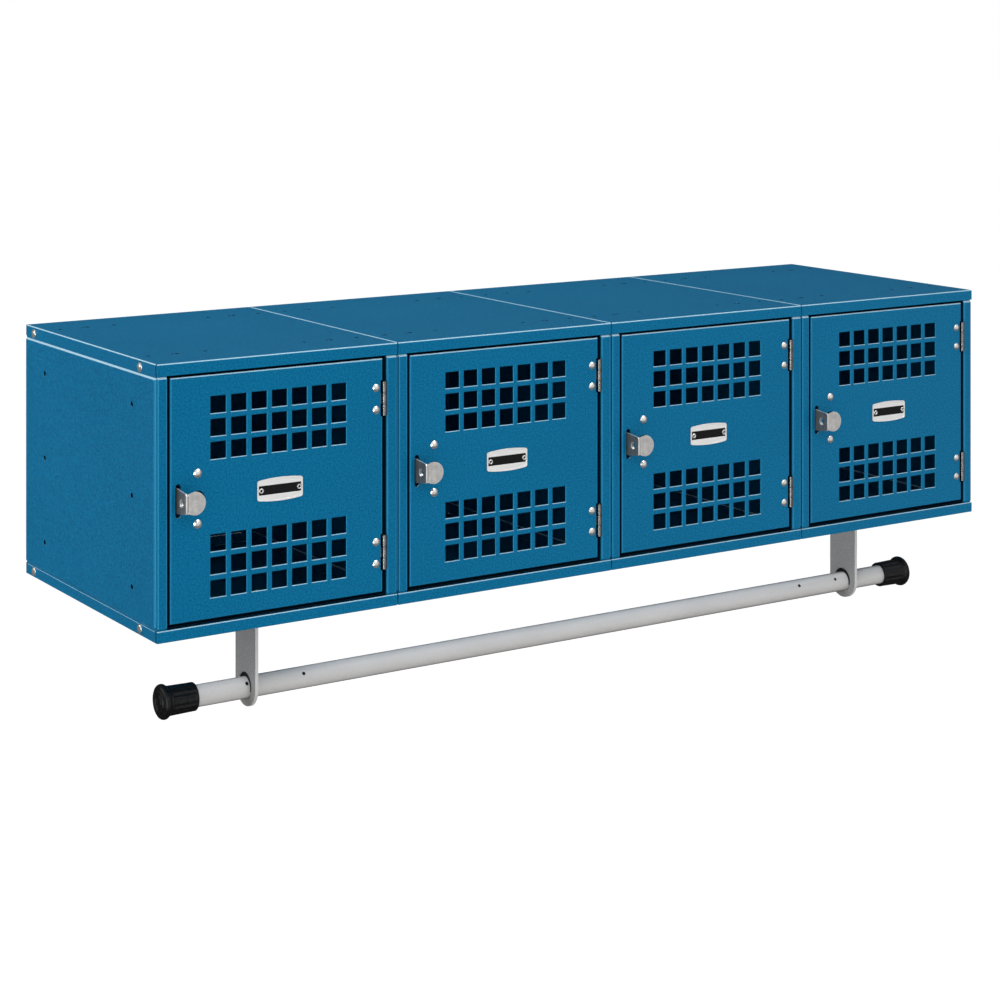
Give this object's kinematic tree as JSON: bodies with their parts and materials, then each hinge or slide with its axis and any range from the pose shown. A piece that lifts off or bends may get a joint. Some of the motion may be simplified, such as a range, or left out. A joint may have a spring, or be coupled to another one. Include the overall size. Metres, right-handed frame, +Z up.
{
  "type": "school locker",
  "caption": "Wall-hung sheet-metal school locker: a row of square box compartments with vented hinged doors, padlock latches and a coat rod on brackets underneath.",
  "frame": {"origin": "centre of the back panel's outer face, which is the wall plane, half-way along the row and half-way up the boxes", "axes": "+Z up; +X along the row, to the right for a person who faces the doors; +Y into the wall, so the doors face -Y"},
  "size_m": [1.2188, 0.4036, 0.4224],
  "materials": {
    "blue_powder_coat": "satin powder coat with a fine orange-peel texture",
    "nickel_plate": "dull nickel plate",
    "bracket_paint": "smooth grey paint",
    "rod_paint": "light grey paint",
    "black_rubber": "moulded matt rubber with ribs",
    "black_enamel": "black filled panel of the number plate"
  },
  "bodies": {
    "cabinet": {"top_pan_1": "blue_powder_coat", "bottom_pan_1": "blue_powder_coat", "side_left_1": "blue_powder_coat", "side_right_1": "blue_powder_coat", "door_frame_1": "blue_powder_coat", "hinge_upper_frame_leaf_1": "nickel_plate", "hinge_lower_frame_leaf_1": "nickel_plate", "padlock_eye_1": "nickel_plate", "top_pan_2": "blue_powder_coat", "bottom_pan_2": "blue_powder_coat", "side_left_2": "blue_powder_coat", "side_right_2": "blue_powder_coat", "door_frame_2": "blue_powder_coat", "hinge_upper_frame_leaf_2": "nickel_plate", "hinge_lower_frame_leaf_2": "nickel_plate", "padlock_eye_2": "nickel_plate", "top_pan_3": "blue_powder_coat", "bottom_pan_3": "blue_powder_coat", "side_left_3": "blue_powder_coat", "side_right_3": "blue_powder_coat", "door_frame_3": "blue_powder_coat", "hinge_upper_frame_leaf_3": "nickel_plate", "hinge_lower_frame_leaf_3": "nickel_plate", "padlock_eye_3": "nickel_plate", "top_pan_4": "blue_powder_coat", "bottom_pan_4": "blue_powder_coat", "side_left_4": "blue_powder_coat", "side_right_4": "blue_powder_coat", "door_frame_4": "blue_powder_coat", "hinge_upper_frame_leaf_4": "nickel_plate", "hinge_lower_frame_leaf_4": "nickel_plate", "padlock_eye_4": "nickel_plate", "back_panel": "blue_powder_coat", "rod_bracket_left": "bracket_paint", "rod_bracket_right": "bracket_paint"},
    "door_assembly_1": {"door_1": "blue_powder_coat", "hinge_upper_door_leaf_1": "nickel_plate", "hinge_lower_door_leaf_1": "nickel_plate", "door_pull_1": "nickel_plate", "number_plate_1": "nickel_plate"},
    "door_assembly_2": {"door_2": "blue_powder_coat", "hinge_upper_door_leaf_2": "nickel_plate", "hinge_lower_door_leaf_2": "nickel_plate", "door_pull_2": "nickel_plate", "number_plate_2": "nickel_plate"},
    "door_assembly_3": {"door_3": "blue_powder_coat", "hinge_upper_door_leaf_3": "nickel_plate", "hinge_lower_door_leaf_3": "nickel_plate", "door_pull_3": "nickel_plate", "number_plate_3": "nickel_plate"},
    "door_assembly_4": {"door_4": "blue_powder_coat", "hinge_upper_door_leaf_4": "nickel_plate", "hinge_lower_door_leaf_4": "nickel_plate", "door_pull_4": "nickel_plate", "number_plate_4": "nickel_plate"},
    "rod_assembly": {"hang_rod": "rod_paint", "rod_cap_left": "black_rubber", "rod_cap_right": "black_rubber"}
  },
  "joints": [
    {"name": "door_1_hinge", "type": "hinge", "parent": "cabinet", "child": "door_assembly_1", "pos_m": [-0.323, -0.381, 0.0008], "axis": [0, 0, 1], "range_deg": [0, 120]},
    {"name": "door_2_hinge", "type": "hinge", "parent": "cabinet", "child": "door_assembly_2", "pos_m": [-0.0182, -0.381, 0.0008], "axis": [0, 0, 1], "range_deg": [0, 120]},
    {"name": "door_3_hinge", "type": "hinge", "parent": "cabinet", "child": "door_assembly_3", "pos_m": [0.2866, -0.381, 0.0008], "axis": [0, 0, 1], "range_deg": [0, 120]},
    {"name": "door_4_hinge", "type": "hinge", "parent": "cabinet", "child": "door_assembly_4", "pos_m": [0.5914, -0.381, 0.0008], "axis": [0, 0, 1], "range_deg": [0, 120]},
    {"name": "rod_slide", "type": "slide", "parent": "cabinet", "child": "rod_assembly", "axis": [1, 0, 0], "range_m": [-0.06, 0.065]}
  ]
}
